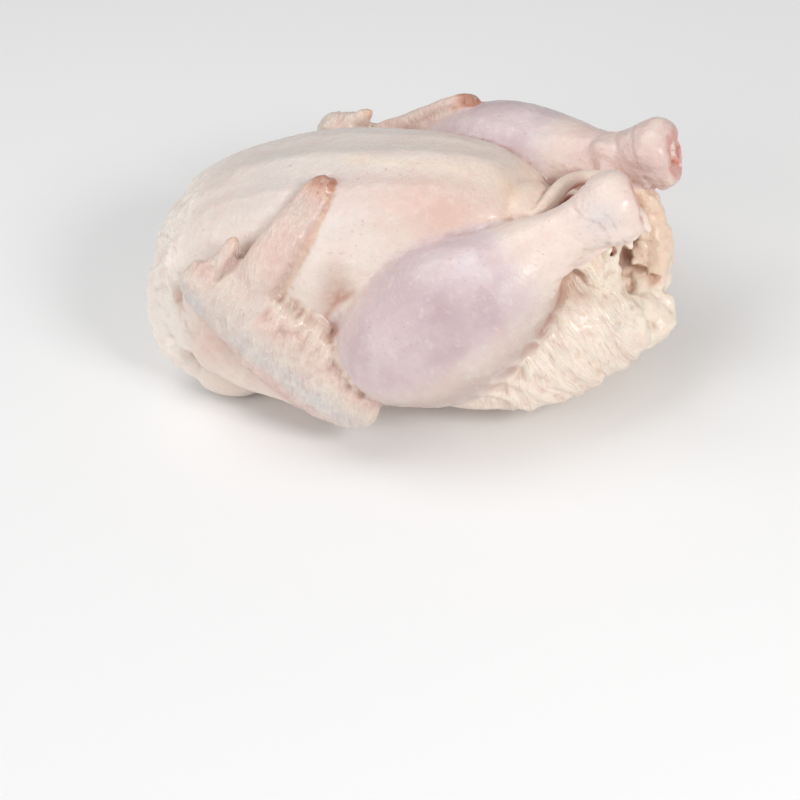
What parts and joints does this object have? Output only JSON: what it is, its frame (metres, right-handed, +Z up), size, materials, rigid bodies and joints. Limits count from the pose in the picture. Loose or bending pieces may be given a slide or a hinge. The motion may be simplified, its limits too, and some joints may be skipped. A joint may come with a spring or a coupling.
{
  "type": "whole chicken",
  "caption": "Raw plucked whole chicken lying on its back, breast up, with folded wings, bent legs cut at the ankle, an emptied body cavity open at the tail end and a short pointed tail.",
  "frame": {"origin": "middle of the object's box, on the surface that the bird's back lies on", "axes": "+Z up, breast upward; +X toward the tail, the neck end is at -X; the bird's right side is at -Y"},
  "size_m": [0.2474, 0.1726, 0.1192],
  "materials": {
    "raw_skin": "raw chicken skin, moist, pale cream to lilac pink",
    "shank_bone": "cut joint of the shank bone, wet, pink with pale cartilage"
  },
  "bodies": {
    "root": {"chicken": "raw_skin", "shank_bone_right": "shank_bone", "shank_bone_left": "shank_bone"}
  },
  "joints": []
}
